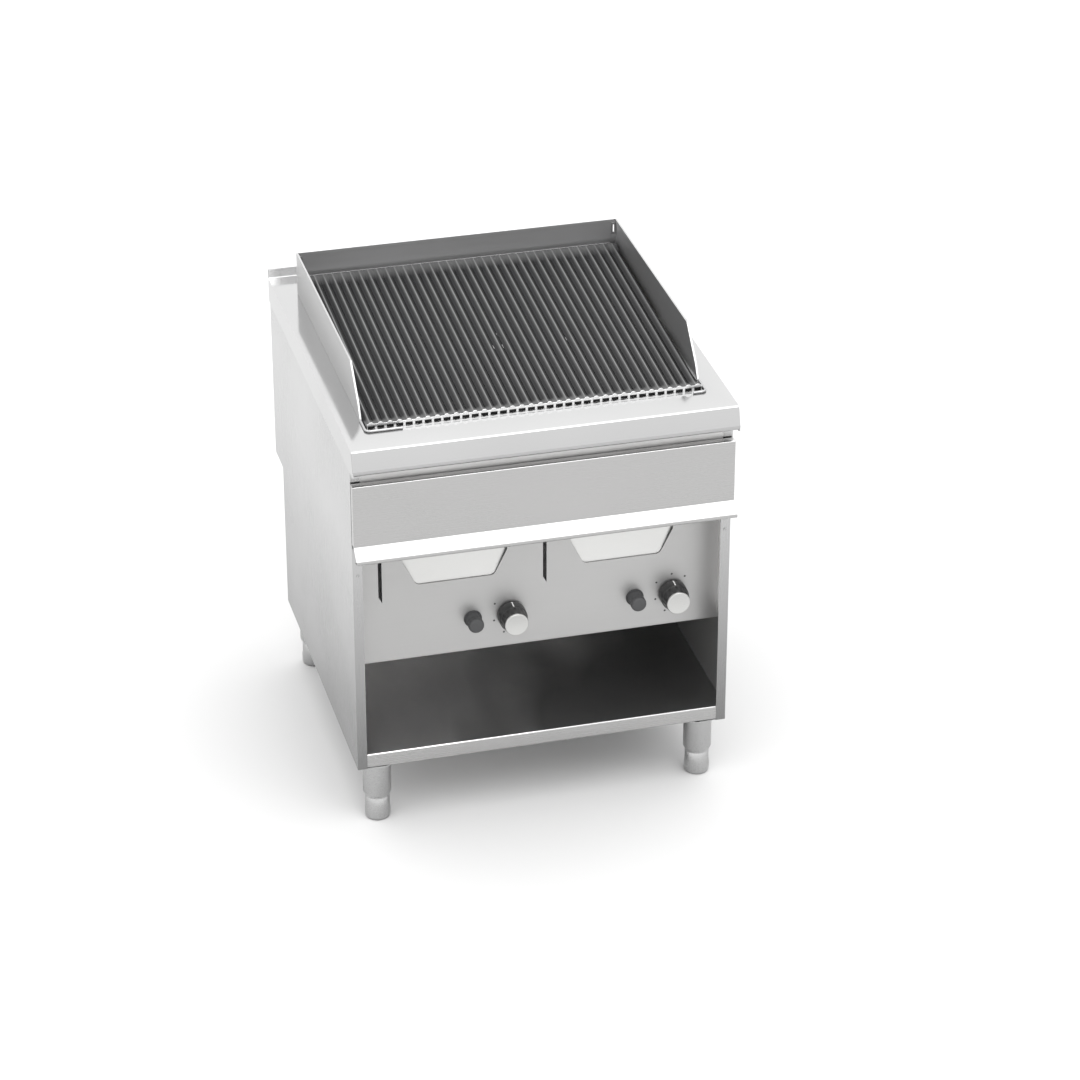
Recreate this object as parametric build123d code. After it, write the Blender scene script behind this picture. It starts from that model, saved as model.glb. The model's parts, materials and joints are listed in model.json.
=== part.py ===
from build123d import *
import math
import os

os.makedirs("parts", exist_ok=True)

# A free-standing gas charbroiler grill on an open cabinet.
# Frame: millimetres, +Z up, -Y to the cook, origin on the floor under the middle of the body.

# ---------------------------------------------------------------- driving dimensions
HALF_W = 400.0  # half the worktop's width
FRONT_Y = -430.0  # front edge of the nose and of the drawer's lip
REAR_Y = 430.0  # back of the worktop's upstand
TOP_Z = 900.0  # worktop surface
UPSTAND_Z = 920.0
SHEET = 1.5  # general sheet thickness
TOP_SHEET = 2.0  # worktop and splash guard sheet
BEND = 2.5  # bend radius of the sheets' middle line
FIT = 0.05  # radial clearance of shafts in their holes

# body
PANEL_X = 398.0  # outer face of the side panels
BODY_FRONT_Y = -385.0  # front plane of the side panels
LOWER_REAR_Y = 348.0  # back of the lower cabinet
STEP_Z = 478.0  # height where the body steps back
BODY_Z = 142.0  # underside of the cabinet
FLANGE_X = 377.6  # inner edge of the side panels' front flanges
SILL_Z = 176.0  # top of the front rail, and of the cabinet floor
FLANGE_BOTTOM_Z = 845.0  # lower edge of the worktop's side flanges
SCREW_Z = 602.0  # the screw at the top of each front flange
SCREW_INSET = 11.0
SCREW_R = 2.0

# nose and worktop opening
NOSE_TOP_Y = -414.0
NOSE_Z = 848.0
NOSE_BEND = 9.0  # bend radius at the nose's lower edge
OPEN_X = 350.0
OPEN_FRONT_Y = -326.0
OPEN_REAR_Y = 326.0

# drawer
FASCIA_Y = -405.0
FASCIA_TOP_Z = 816.0
FASCIA_Z = 679.0
LIP_Z = 650.0
LIP_BEND = 3.8  # bend radii at the lip's lower edge
TRAY_X = 352.0
TRAY_REAR_Y = 215.0
TRAY_Z = 692.0
TRAY_TOP_Z = 774.0
TRAY_FLANGE_X = 371.0

# control panel and its two modules
CONTROL_Y = -319.0
CONTROL_Z = 354.0
CONTROL_TOP_Z = 684.0
MODULE_X = 174.0  # module centres are at plus and minus this
KNOB_DX = 121.5  # knob centre from its module's centre
BUTTON_DX = 40.0
SLOT_DX = -154.0
CONTROL_ROW_Z = 430.0
SPINDLE_R = 4.0
PLUNGER_R = 3.0
KNOB_GAP = 4.5  # between a knob's skirt and the panel, more than its push
KNOB_R = 30.5
KNOB_FACE_R = 25.6
SKIRT = 22.0  # length of the knob's skirt
SKIRT_FRONT_Y = CONTROL_Y - KNOB_GAP - SKIRT
KNOB_FRONT_Y = CONTROL_Y - KNOB_GAP - 42
BUTTON_R = 16.5
BUTTON_FRONT_Y = CONTROL_Y - 36
BUTTON_REAR_Y = CONTROL_Y + 18
COLLAR_FRONT_Y = CONTROL_Y - 3
BARREL_R = 17.6
BARREL_REAR_Y = CONTROL_Y + 42
WINDOW_X = (-170.0, 185.0)  # centres of the two sight windows
WINDOW_HALF = (82.0, 118.0)  # half-widths at their lower and upper edges
WINDOW_Z = (527.0, 599.0)
WINDOW_CORNER_R = 13.0
REFLECTOR_HALF = 135.0
SLOT_Z = (508.0, 494.0)  # the slanted lower end of a lighting slot, left and right
SLOT_TOP_Z = 620.0
SLOT_W = 7.5

# splash guard
SPLASH_X = 354.6
SPLASH_REAR_Y = 335.0
SPLASH_Z = 996.0
SPLASH_HEM = 3.4  # thickness of the back sheet with its top edge folded over
SHELF_Z = 938.0  # narrow shelf that closes the gap behind the grate
SPLASH_KNEE_Y = -204.0
SPLASH_FRONT_Y = -287.0
TAB_Z = (961.0, 988.0)  # tabs in the splash guard's rear corners
TAB_W = 11.0
TAB_SLOT_W = 3.0
TAB_SLOT_Z = (966.0, 983.0)

# grate
BARS_PER_SECTION = 18
BAR_PITCH = 19.4
BAR_W = 14.4  # at its foot
RIDGE_W = 4.4  # at its top
BAR_DEPTH = 9.0
FRONT_RAIL = 30.0  # length of the rails that join the bars at both ends
REAR_RAIL = 14.0
END_RAIL_DROP = 1.2  # their tops, below the ridges
GRATE_FRONT_Y = -319.5
GRATE_REAR_Y = 321.0
GRATE_FRONT_Z = 905.75
GRATE_REAR_Z = 945.0
SECTION_W = BARS_PER_SECTION * BAR_PITCH
TILT = math.degrees(math.atan2(GRATE_REAR_Z - GRATE_FRONT_Z, GRATE_REAR_Y - GRATE_FRONT_Y))
BAR_LENGTH = math.hypot(GRATE_REAR_Z - GRATE_FRONT_Z, GRATE_REAR_Y - GRATE_FRONT_Y)
CROSS_ROD_Y = (60, BAR_LENGTH / 2, BAR_LENGTH - 24)
CROSS_ROD_R = 3.0

# comb and hooks in front of the grate
COMB_Y = -325.5
COMB_BOTTOM_Z = 887.5
COMB_TOP_Z = 910.4
TOOTH_R = 6.5
TOOTH_Z = 907.4  # centre of the teeth's rounded tops
DRAIN_W = 14.5
DRAIN_Z = (893.0, 906.6)
HOOK_Y = -340.0
HOOK_R = 2.4
HOOK_Z = TOP_Z + HOOK_R + 0.3
HOOK_BEND = 10.0
HOOK_LEG = {"left": 75.0, "right": 28.0}  # how far each hook reaches in along the comb

# legs
LEG_X = 350.0
LEG_FRONT_Y = -344.0
LEG_REAR_Y = 307.0
LEG_R = 30.0
FOOT_R = 27.0
FOOT_TOP_Z = 57.0
FOOT_STEM_R = 11.0
LEG_FLANGE_R = 41.0
LEG_FLANGE = 4.0
LEG_SCREW_RING = 35.5

# burners
TUBE_R = 16.0
TUBE_Z = 832.0
TUBE_DX = 75.0
TUBE_FRONT_Y = -290.0
HEADER_Y = 245.0
RAIL_TOP_Z = 852.0
BURNER_RAIL_Y = {"front": -284.0, "rear": 228.0}
PORTS = 16
PORT_PITCH = 32.0

# gas train
GAS_X = 362.0
INLET_Z = 384.0
INLET_R = 10.48  # male G 1/2 thread, major radius
INLET_THREAD = 28.0
INLET_END_Y = LOWER_REAR_Y + 44
MANIFOLD_Y = -272.0
MANIFOLD_R = 10.65
FEED_R = 6.0
FEED_Z = 560.0
FEED_REAR_Y = 376.0
VALVE_FRONT_Y = CONTROL_Y + SHEET

SIDES = {"left": -1, "right": 1}
ENDS = {"front": LEG_FRONT_Y, "rear": LEG_REAR_Y}


# ---------------------------------------------------------------- shape helpers
def block(x, y, z):
    """A box between low and high values on each axis."""
    size = Box(x[1] - x[0], y[1] - y[0], z[1] - z[0])
    return Pos((x[0] + x[1]) / 2, (y[0] + y[1]) / 2, (z[0] + z[1]) / 2) * size


def side_of(sign, inner, outer):
    """The low and high x of something between two distances from the middle, on one side."""
    return (inner, outer) if sign > 0 else (-outer, -inner)


def rod(start, end, radius):
    """A round bar from one point to another."""
    start = Vector(*start)
    run = Vector(*end) - start
    base = Plane(origin=start, z_dir=run.normalized())
    return base * Cylinder(radius, run.length, align=(Align.CENTER, Align.CENTER, Align.MIN))


def cone(start, end, r_start, r_end):
    start = Vector(*start)
    run = Vector(*end) - start
    base = Plane(origin=start, z_dir=run.normalized())
    return base * Cone(r_start, r_end, run.length, align=(Align.CENTER, Align.CENTER, Align.MIN))


def plate_x(outline, x):
    """A flat plate with an outline of (y, z) points, between two x values."""
    face = make_face(Polyline(*outline, close=True))
    return extrude(Plane.YZ.offset(x[0]) * face, x[1] - x[0])


def facing_front(y):
    """A drawing plane that faces the cook, with local x along X and local y along Z."""
    return Plane(origin=(0, y, 0), x_dir=(1, 0, 0), z_dir=(0, -1, 0))


def plate_y(sketch, y):
    """A plate with a sketch drawn in (x, z), between two y values."""
    return extrude(facing_front(y[1]) * sketch, y[1] - y[0])


def bent_x(path, x, thickness=SHEET, bend=BEND):
    """A bent sheet: its middle line in (y, z), drawn out between two x values; one bend or a list."""
    line = FilletPolyline(*path, radius=bend) if len(path) > 2 else Polyline(*path)
    return extrude(Plane.YZ.offset(x[0]) * trace(line, thickness), x[1] - x[0])


def bent_y(path, y, thickness=SHEET, bend=BEND):
    """A bent sheet: its middle line in (x, z), drawn out between two y values."""
    line = FilletPolyline(*path, radius=bend) if len(path) > 2 else Polyline(*path)
    return extrude(facing_front(y[1]) * trace(line, thickness), y[1] - y[0])


def save(name, shape):
    """Write one piece, or one group of identical pieces, under its name."""
    solids = shape.solids() if hasattr(shape, "solids") else shape
    out = solids[0] if len(solids) == 1 else Compound(children=list(solids))
    out.label = name
    export_step(out, f"parts/{name}.step")


# ---------------------------------------------------------------- worktop and body
def worktop():
    half = TOP_SHEET / 2
    nose = bent_x(
        [
            (OPEN_FRONT_Y, TOP_Z - half),
            (NOSE_TOP_Y, TOP_Z - half),
            (FRONT_Y + half, NOSE_Z + half),
            (FRONT_Y + 16, NOSE_Z + half),
        ],
        (-HALF_W, HALF_W),
        TOP_SHEET,
        bend=[3.5, NOSE_BEND],
    )
    rear = bent_x(
        [(OPEN_REAR_Y, TOP_Z - half), (REAR_Y - half, TOP_Z - half), (REAR_Y - half, UPSTAND_Z)],
        (-HALF_W, HALF_W),
        TOP_SHEET,
    )
    top = nose + rear
    flange_outline = [
        (NOSE_TOP_Y + 3, TOP_Z - 1),
        (FRONT_Y + 3, NOSE_Z),
        (FRONT_Y + 16, FLANGE_BOTTOM_Z),
        (REAR_Y, FLANGE_BOTTOM_Z),
        (REAR_Y, UPSTAND_Z),
        (REAR_Y - 2, UPSTAND_Z),
        (REAR_Y - 4, TOP_Z - 1),
    ]
    for sign in SIDES.values():
        side = side_of(sign, OPEN_X, HALF_W)
        top += block(side, (OPEN_FRONT_Y - 1, OPEN_REAR_Y + 1), (TOP_Z - TOP_SHEET, TOP_Z))
        top += plate_x(flange_outline, side_of(sign, HALF_W - 1.8, HALF_W))
    return top


def side_panel(sign):
    skin = [
        (BODY_FRONT_Y, BODY_Z),
        (LOWER_REAR_Y, BODY_Z),
        (LOWER_REAR_Y, STEP_Z),
        (REAR_Y - 2, STEP_Z),
        (REAR_Y - 2, TOP_Z - TOP_SHEET),
        (BODY_FRONT_Y, TOP_Z - TOP_SHEET),
    ]
    panel = plate_x(skin, side_of(sign, PANEL_X - SHEET, PANEL_X))
    across = side_of(sign, FLANGE_X, PANEL_X - SHEET / 2)
    panel += block(across, (BODY_FRONT_Y, BODY_FRONT_Y + SHEET), (BODY_Z, TOP_Z - TOP_SHEET))
    turned_in = side_of(sign, PANEL_X - 55, PANEL_X - SHEET / 2)
    panel += block(turned_in, (BODY_FRONT_Y + 2, LOWER_REAR_Y), (BODY_Z, BODY_Z + SHEET))
    at = sign * (PANEL_X - SCREW_INSET)
    return panel - rod((at, BODY_FRONT_Y - 1, SCREW_Z), (at, BODY_FRONT_Y + 3, SCREW_Z), SCREW_R + 0.1)


def lower_back():
    inside = PANEL_X - SHEET
    back = block((-inside, inside), (LOWER_REAR_Y - SHEET, LOWER_REAR_Y), (BODY_Z + SHEET, STEP_Z))
    inlet_hole = rod((GAS_X, LOWER_REAR_Y - 9, INLET_Z), (GAS_X, LOWER_REAR_Y + 9, INLET_Z), 15)
    return back - inlet_hole


def upper_back():
    """The stepped-out upper back: a shelf over the step and a louvred sheet above it."""
    inside = PANEL_X - SHEET
    half = SHEET / 2
    rear = REAR_Y - 2 - half
    back = bent_x(
        [(LOWER_REAR_Y, STEP_Z + half), (rear, STEP_Z + half), (rear, TOP_Z - TOP_SHEET - 0.5)],
        (-inside, inside),
    )
    for column in range(5):
        for row in range(4):
            x = (column - 2) * 140
            z = 600 + row * 34
            back -= block((x - 45, x + 45), (rear - 9, rear + 9), (z, z + 9))
    return back


def cabinet_floor():
    inside = PANEL_X - SHEET
    half = SHEET / 2
    front = BODY_FRONT_Y + half
    return bent_x(
        [
            (front + 14, BODY_Z + 3),
            (front, BODY_Z + 3),
            (front, SILL_Z - half),
            (LOWER_REAR_Y - SHEET - half, SILL_Z - half),
            (LOWER_REAR_Y - SHEET - half, BODY_Z + 4),
        ],
        (-FLANGE_X, FLANGE_X),
    ) + block((-inside, inside), (BODY_FRONT_Y + 5, LOWER_REAR_Y - 8), (SILL_Z - SHEET, SILL_Z))


def heat_shield():
    """The ceiling of the open compartment, below the gas controls."""
    inside = PANEL_X - SHEET
    half = SHEET / 2
    return bent_x(
        [
            (CONTROL_Y + 22, CONTROL_Z + half + SHEET),
            (LOWER_REAR_Y - SHEET - half, CONTROL_Z + half + SHEET),
            (LOWER_REAR_Y - SHEET - half, CONTROL_Z + 14),
        ],
        (-inside, inside),
    )


def cross_rail(y, z, depth):
    """A channel across the body under the worktop."""
    inside = PANEL_X - SHEET
    return bent_x([(y + depth, z[0]), (y, z[0]), (y, z[1]), (y + depth, z[1])], (-inside, inside))


def window(centre):
    low_half, high_half = WINDOW_HALF
    points = [
        (centre - low_half, WINDOW_Z[0]),
        (centre + low_half, WINDOW_Z[0]),
        (centre + high_half, WINDOW_Z[1]),
        (centre - high_half, WINDOW_Z[1]),
    ]
    face = make_face(Polyline(*points, close=True))
    return fillet(face.vertices(), WINDOW_CORNER_R)


def control_panel():
    inside = PANEL_X - SHEET
    half = SHEET / 2
    y = CONTROL_Y + half
    sheet = bent_x(
        [(y + 18, CONTROL_Z + half), (y, CONTROL_Z + half), (y, CONTROL_TOP_Z), (y + 18, CONTROL_TOP_Z)],
        (-inside, inside),
    )
    through = (CONTROL_Y - 5, CONTROL_Y + 5)
    for centre in WINDOW_X:
        sheet -= plate_y(window(centre), through)
    for sign in SIDES.values():
        middle = sign * MODULE_X
        slot_x = middle + SLOT_DX
        left = slot_x - SLOT_W / 2
        right = slot_x + SLOT_W / 2
        slot = [(left, SLOT_Z[0]), (right, SLOT_Z[1]), (right, SLOT_TOP_Z), (left, SLOT_TOP_Z)]
        sheet -= plate_y(make_face(Polyline(*slot, close=True)), through)
        for dx, radius in ((KNOB_DX, SPINDLE_R + 1), (BUTTON_DX, BARREL_R)):
            x = middle + dx
            sheet -= rod((x, through[0], CONTROL_ROW_Z), (x, through[1], CONTROL_ROW_Z), radius)
    return sheet


def sight_reflector(centre):
    """A bright sheet behind a window, leaning back, which shows the cook the flame above it."""
    y = CONTROL_Y + SHEET + 1.2
    path = [(y, WINDOW_Z[0] - 22), (y, WINDOW_Z[0] - 10), (y + 10, CONTROL_TOP_Z - 60)]
    return bent_x(path, (centre - REFLECTOR_HALF, centre + REFLECTOR_HALF), bend=4)


def panel_screws():
    """Pan-head screws at the top of the side panels' front flanges."""
    heads = []
    for sign in SIDES.values():
        x = sign * (PANEL_X - SCREW_INSET)
        head = rod((x, BODY_FRONT_Y - 1.6, SCREW_Z), (x, BODY_FRONT_Y, SCREW_Z), 3.4)
        socket = rod((x, BODY_FRONT_Y - 2, SCREW_Z), (x, BODY_FRONT_Y - 0.7, SCREW_Z), 1.5)
        head += rod((x, BODY_FRONT_Y, SCREW_Z), (x, BODY_FRONT_Y + 9, SCREW_Z), SCREW_R)
        heads.append((head - socket).solids()[0])
    return heads


# ---------------------------------------------------------------- firebox, burners, flame tamers
def firebox():
    """Four walls hanging under the worktop's opening; the drawer closes it below."""
    x = OPEN_X + SHEET
    z = (796, TOP_Z - TOP_SHEET)
    outer = block((-x, x), (OPEN_FRONT_Y - SHEET, OPEN_REAR_Y + SHEET), z)
    inner = block((-x + SHEET, x - SHEET), (OPEN_FRONT_Y, OPEN_REAR_Y), (z[0] - 1, z[1] + 1))
    walls = outer - inner
    for sign in SIDES.values():
        at = sign * MODULE_X
        walls -= rod((at, OPEN_REAR_Y - 5, TUBE_Z), (at, OPEN_REAR_Y + 5, TUBE_Z), 14)
    return walls


def burner_rail(y):
    """A cross plate with holes that carry the burner tubes; the tamers stand on its top edge."""
    rail = block((-OPEN_X, OPEN_X), (y, y + 3), (804, RAIL_TOP_Z))
    for sign in SIDES.values():
        for side in (-1, 1):
            x = sign * MODULE_X + side * TUBE_DX
            rail -= rod((x, y - 1, TUBE_Z), (x, y + 4, TUBE_Z), TUBE_R + 0.1)
    return rail


def burner(sign):
    """Two ported tubes joined by a header, fed by a mixing tube at the rear."""
    middle = sign * MODULE_X
    shape = block((middle - 100, middle + 100), (HEADER_Y, HEADER_Y + 30), (TUBE_Z - 17, TUBE_Z + 17))
    for side in (-1, 1):
        x = middle + side * TUBE_DX
        shape += rod((x, TUBE_FRONT_Y, TUBE_Z), (x, HEADER_Y + 1, TUBE_Z), TUBE_R)
    shape += rod((middle, HEADER_Y + 29, TUBE_Z), (middle, 336, TUBE_Z), 13)
    shape -= rod((middle, HEADER_Y + 10, TUBE_Z), (middle, 337, TUBE_Z), 10)
    for side in (-1, 1):
        x = middle + side * TUBE_DX
        shape -= rod((x, TUBE_FRONT_Y + 2, TUBE_Z), (x, HEADER_Y + 20, TUBE_Z), TUBE_R - 2)
        for port in range(PORTS):
            y = TUBE_FRONT_Y + 26 + port * PORT_PITCH
            shape -= block((x - 20, x + 20), (y, y + 2.5), (TUBE_Z + 2, TUBE_Z + 5))
    return shape


def flame_tamer(x):
    """An inverted V of heavy sheet over one burner tube."""
    path = [(x - 62, 854), (x - 58, 854), (x, 883), (x + 58, 854), (x + 62, 854)]
    return bent_y(path, (BURNER_RAIL_Y["front"] - 6, BURNER_RAIL_Y["rear"] + 9), 2.4, bend=3)


def pilot_parts(sign):
    """Pilot burner, spark electrode and flame sensor between the two tubes of one burner."""
    middle = sign * MODULE_X
    y = BURNER_RAIL_Y["front"] + 3
    pilot = block((middle - 22, middle + 22), (y, y + 2), (808, 846))
    pilot += block((middle - 22, middle + 22), (y, y + 22), (826, 828))
    pilot += rod((middle, y + 12, 812), (middle, y + 12, 842), 5)
    spark = rod((middle - 14, y + 12, 806), (middle - 14, y + 12, 836), 3)
    spark += rod((middle - 14, y + 12, 835), (middle - 14, y + 12, 848), 0.9)
    sensor = rod((middle + 14, y + 12, 806), (middle + 14, y + 12, 846), 2.6)
    return {"pilot_burner": pilot - spark - sensor, "spark_electrode": spark, "flame_sensor": sensor}


# ---------------------------------------------------------------- gas train
def knob_x(sign):
    return sign * MODULE_X + KNOB_DX


def button_x(sign):
    return sign * MODULE_X + BUTTON_DX


def gas_manifold():
    pipe = rod((knob_x(-1) - 40, MANIFOLD_Y, INLET_Z), (GAS_X - 14, MANIFOLD_Y, INLET_Z), MANIFOLD_R)
    bore = rod((knob_x(-1) - 36, MANIFOLD_Y, INLET_Z), (GAS_X, MANIFOLD_Y, INLET_Z), MANIFOLD_R - 2.6)
    return pipe - bore


def gas_inlet_pipe():
    """Elbow at the manifold's end, then a straight pipe to a threaded end behind the cabinet."""
    path = FilletPolyline(
        (GAS_X - 14, MANIFOLD_Y, INLET_Z),
        (GAS_X + 14, MANIFOLD_Y, INLET_Z),
        (GAS_X + 14, MANIFOLD_Y + 60, INLET_Z),
        (GAS_X, MANIFOLD_Y + 130, INLET_Z),
        (GAS_X, INLET_END_Y - INLET_THREAD, INLET_Z),
        radius=13,
    )
    start = Plane(origin=(GAS_X - 14, MANIFOLD_Y, INLET_Z), z_dir=(1, 0, 0))
    pipe = sweep(start * Circle(MANIFOLD_R), path=path)
    thread_y = INLET_END_Y - INLET_THREAD
    pipe += rod((GAS_X, thread_y, INLET_Z), (GAS_X, INLET_END_Y, INLET_Z), INLET_R)
    pipe += rod((GAS_X, thread_y - 14, INLET_Z), (GAS_X, thread_y - 4, INLET_Z), 16)
    return pipe - rod((GAS_X, INLET_END_Y - 60, INLET_Z), (GAS_X, INLET_END_Y + 1, INLET_Z), 7.5)


def gas_valve(sign):
    """Safety tap: a stepped body with a bore for the spindle and the plunger behind it."""
    x = knob_x(sign)
    z = CONTROL_ROW_Z
    front = VALVE_FRONT_Y
    body = rod((x, front, z), (x, front + 12, z), 13)
    body += block((x - 17, x + 17), (front + 12, front + 50), (z - 19, z + 19))
    body += rod((x, front + 50, z), (x, front + 72, z), 11)
    body += block((x - 9, x + 9), (MANIFOLD_Y - 9, MANIFOLD_Y + 9), (INLET_Z + 7, z - 18))
    body -= rod((x, front - 1, z), (x, front + 40, z), SPINDLE_R + FIT)
    body -= rod((x, front + 39, z), (x, front + 64, z), PLUNGER_R + FIT)
    saddle = rod((x - 12, MANIFOLD_Y, INLET_Z), (x + 12, MANIFOLD_Y, INLET_Z), MANIFOLD_R)
    return body - saddle


def plunger(sign):
    """The rod that the pushed spindle drives into the valve's safety magnet."""
    x = knob_x(sign)
    front = VALVE_FRONT_Y + 34
    return rod((x, front, CONTROL_ROW_Z), (x, front + 24, CONTROL_ROW_Z), PLUNGER_R)


def feed_pipe(sign):
    """From the valve up behind the control panel, back over the shield, and up to the burner."""
    x = knob_x(sign)
    at = sign * MODULE_X
    start_y = VALVE_FRONT_Y + 72
    path = FilletPolyline(
        (x, start_y, CONTROL_ROW_Z),
        (x, start_y + 40, CONTROL_ROW_Z),
        (x, start_y + 40, FEED_Z),
        (x, HEADER_Y, FEED_Z),
        (at, HEADER_Y, FEED_Z),
        (at, FEED_REAR_Y, FEED_Z),
        (at, FEED_REAR_Y, TUBE_Z),
        (at, 352, TUBE_Z),
        radius=14,
    )
    start = Plane(origin=(x, start_y, CONTROL_ROW_Z), z_dir=(0, 1, 0))
    return sweep(start * Circle(FEED_R), path=path)


def injector(sign):
    """Brass jet between the feed pipe and the burner's mixing tube."""
    at = sign * MODULE_X
    jet = rod((at, 340, TUBE_Z), (at, 352, TUBE_Z), 8)
    jet += cone((at, 340, TUBE_Z), (at, 331, TUBE_Z), 5.5, 2.5)
    return jet - rod((at, 330, TUBE_Z), (at, 349, TUBE_Z), 1.0)


# ---------------------------------------------------------------- knobs and igniters
def knob(sign):
    """Dark moulded knob: a flared skirt and a grip with shallow finger flutes."""
    x = knob_x(sign)
    z = CONTROL_ROW_Z
    rear = CONTROL_Y - KNOB_GAP
    shape = cone((x, rear, z), (x, SKIRT_FRONT_Y, z), KNOB_R, KNOB_R - 0.8)
    grip = cone((x, SKIRT_FRONT_Y, z), (x, KNOB_FRONT_Y, z), KNOB_R - 2, KNOB_FACE_R)
    for flute in range(12):
        angle = math.radians(flute * 30 + 15)
        fx = x + 31.6 * math.cos(angle)
        fz = z + 31.6 * math.sin(angle)
        grip -= rod((fx, SKIRT_FRONT_Y - 3, fz), (fx, KNOB_FRONT_Y - 1, fz), 4.6)
    return shape + grip - rod((x, rear + 1, z), (x, KNOB_FRONT_Y + 6, z), SPINDLE_R)


def knob_cap(sign):
    """Light front disc of the knob, slightly domed."""
    x = knob_x(sign)
    disc = rod((x, KNOB_FRONT_Y, CONTROL_ROW_Z), (x, KNOB_FRONT_Y - 4, CONTROL_ROW_Z), KNOB_FACE_R - 0.6)
    return fillet(disc.edges().group_by(Axis.Y)[0], 2.2)


def spindle(sign):
    """Valve spindle, fixed in the knob and turning in the valve."""
    x = knob_x(sign)
    rear = VALVE_FRONT_Y + 34
    return rod((x, KNOB_FRONT_Y + 6, CONTROL_ROW_Z), (x, rear, CONTROL_ROW_Z), SPINDLE_R)


def igniter_body(sign):
    """Piezo igniter: a collar on the panel, a sleeve through it and a closed barrel behind."""
    x = button_x(sign)
    z = CONTROL_ROW_Z
    body = rod((x, COLLAR_FRONT_Y, z), (x, CONTROL_Y, z), BARREL_R + 1.5)
    body += rod((x, CONTROL_Y, z), (x, BARREL_REAR_Y, z), BARREL_R)
    body += rod((x, BARREL_REAR_Y, z), (x, BARREL_REAR_Y + 16, z), 5)
    return body - rod((x, COLLAR_FRONT_Y - 1, z), (x, BARREL_REAR_Y - 2, z), BUTTON_R + FIT)


def igniter_button(sign):
    x = button_x(sign)
    button = rod((x, BUTTON_FRONT_Y, CONTROL_ROW_Z), (x, BUTTON_REAR_Y, CONTROL_ROW_Z), BUTTON_R)
    return fillet(button.edges().group_by(Axis.Y)[0], 3.0)


def igniter_spring(sign):
    """Return spring behind the button."""
    x = button_x(sign)
    wire = 0.9
    length = BARREL_REAR_Y - 2 - BUTTON_REAR_Y - 2 * wire
    coil = Helix(pitch=length / 5, height=length, radius=8)
    start = Plane(origin=coil @ 0, z_dir=coil % 0)
    spring = sweep(start * Circle(wire), path=coil, is_frenet=True)
    place = Plane(origin=(x, BUTTON_REAR_Y + wire, CONTROL_ROW_Z), z_dir=(0, 1, 0))
    return place * spring


# ---------------------------------------------------------------- drawer
def drawer_front():
    half = SHEET / 2
    x = (-PANEL_X, PANEL_X)
    front = bent_x(
        [
            (FASCIA_Y + 16, FASCIA_TOP_Z - half),
            (FASCIA_Y + half, FASCIA_TOP_Z - half),
            (FASCIA_Y + half, FASCIA_Z),
            (FRONT_Y + half, LIP_Z + 9),
            (FRONT_Y + half, LIP_Z + half),
            (FRONT_Y + 14, LIP_Z + half),
        ],
        x,
        bend=[BEND, BEND, LIP_BEND, LIP_BEND],
    )
    for sign in SIDES.values():
        side = side_of(sign, PANEL_X - SHEET, PANEL_X)
        front += block(side, (FASCIA_Y + half, FASCIA_Y + 16), (FASCIA_Z, FASCIA_TOP_Z - half))
    return front


def drawer_tray():
    """Grease and water tray with side flanges that run on the rails."""
    x = TRAY_X
    y = (FASCIA_Y + SHEET, TRAY_REAR_Y)
    shell = block((-x, x), y, (TRAY_Z, TRAY_TOP_Z + SHEET))
    inner_y = (y[0] + SHEET, y[1] - SHEET)
    shell -= block((-x + SHEET, x - SHEET), inner_y, (TRAY_Z + SHEET, TRAY_TOP_Z + 9))
    for sign in SIDES.values():
        across = side_of(sign, x - 1, TRAY_FLANGE_X)
        shell += block(across, (BODY_FRONT_Y + 1, TRAY_REAR_Y), (TRAY_TOP_Z, TRAY_TOP_Z + SHEET))
    return shell


def drawer_runner(sign):
    """Rail under the tray's side flange, with two arms to the side panel."""
    edge = TRAY_FLANGE_X + 2
    path = [
        (sign * (TRAY_X + 2), TRAY_TOP_Z - 0.4 - SHEET / 2),
        (sign * edge, TRAY_TOP_Z - 0.4 - SHEET / 2),
        (sign * edge, TRAY_TOP_Z + 12),
        (sign * (TRAY_X + 2), TRAY_TOP_Z + 12),
    ]
    rail = bent_y(path, (BODY_FRONT_Y + 6, TRAY_REAR_Y + 40), bend=1.5)
    for y in (-340, 60, 220):
        arm = side_of(sign, edge, PANEL_X - SHEET)
        rail += block(arm, (y, y + 25), (TRAY_TOP_Z + 3, TRAY_TOP_Z + 6))
    return rail


# ---------------------------------------------------------------- splash guard
def splash_side(sign):
    outline = [
        (SPLASH_FRONT_Y, TOP_Z),
        (SPLASH_REAR_Y - TOP_SHEET, TOP_Z),
        (SPLASH_REAR_Y - TOP_SHEET, SPLASH_Z),
        (SPLASH_KNEE_Y, SPLASH_Z),
        (SPLASH_KNEE_Y - 65, SPLASH_Z - 65),
    ]
    sheet = plate_x(outline, side_of(sign, SPLASH_X - TOP_SHEET, SPLASH_X))
    hem = side_of(sign, SPLASH_X - 4, SPLASH_X)
    rim = [
        (SPLASH_REAR_Y - TOP_SHEET, SPLASH_Z),
        (SPLASH_KNEE_Y, SPLASH_Z),
        (SPLASH_KNEE_Y - 65, SPLASH_Z - 65),
        (SPLASH_FRONT_Y, TOP_Z),
        (SPLASH_FRONT_Y + 8, TOP_Z),
        (SPLASH_KNEE_Y - 59, SPLASH_Z - 70),
        (SPLASH_KNEE_Y + 3, SPLASH_Z - 8),
        (SPLASH_REAR_Y - TOP_SHEET, SPLASH_Z - 8),
    ]
    sheet += plate_x(rim, hem)
    tab_x = side_of(sign, SPLASH_X - TOP_SHEET - TAB_W, SPLASH_X - TOP_SHEET)
    tab_y = (SPLASH_REAR_Y - 2 * TOP_SHEET, SPLASH_REAR_Y - TOP_SHEET)
    sheet += block(tab_x, tab_y, TAB_Z)
    return sheet - tab_slot(sign)


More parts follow.
